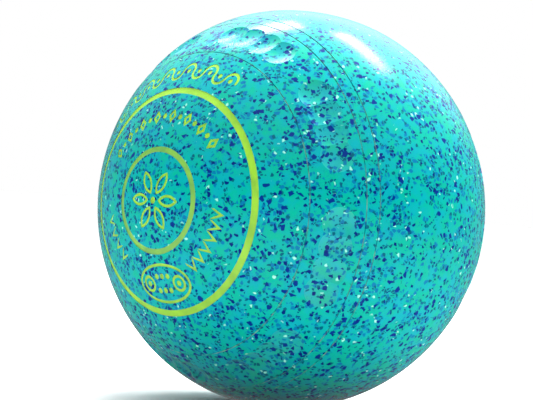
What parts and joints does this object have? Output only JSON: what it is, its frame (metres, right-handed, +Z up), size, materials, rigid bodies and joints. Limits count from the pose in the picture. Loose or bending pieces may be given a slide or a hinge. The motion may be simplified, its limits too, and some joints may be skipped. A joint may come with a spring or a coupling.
{
  "type": "lawn bowl",
  "caption": "Biased lawn bowl of speckled teal resin, wider across the running sole than through its sides, with enamelled rings, border marks and finger-grip dimples engraved on both sides.",
  "frame": {"origin": "on the ground under the middle of the bowl's width, with the bowl standing on its running sole", "axes": "+Z up, Y along the axis that the bowl rolls about, -Y towards the large-ring side and +Y towards the bias side, X along the way it rolls"},
  "size_m": [0.121, 0.1158, 0.121],
  "materials": {
    "speckled_resin": "polished, speckled navy and white",
    "core_resin": "as pressed, filled with barytes",
    "lime_enamel": "semi-gloss enamel wiped into engraving"
  },
  "bodies": {
    "root": {"core": "core_resin", "shell_plain_half": "speckled_resin", "shell_bias_half": "speckled_resin", "enamel_large_ring": "lime_enamel", "enamel_small_ring": "lime_enamel", "enamel_rosette": "lime_enamel", "enamel_scroll": "lime_enamel", "enamel_lozenge_border": "lime_enamel", "enamel_chevrons_right": "lime_enamel", "enamel_chevrons_left": "lime_enamel", "enamel_stamp_frame": "lime_enamel", "enamel_stamp_marks": "lime_enamel", "enamel_bias_ring": "lime_enamel", "enamel_bias_rosette": "lime_enamel", "enamel_bias_lozenge_border": "lime_enamel", "enamel_bias_scroll": "lime_enamel", "enamel_bias_chevrons_right": "lime_enamel", "enamel_bias_chevrons_left": "lime_enamel"}
  },
  "joints": []
}
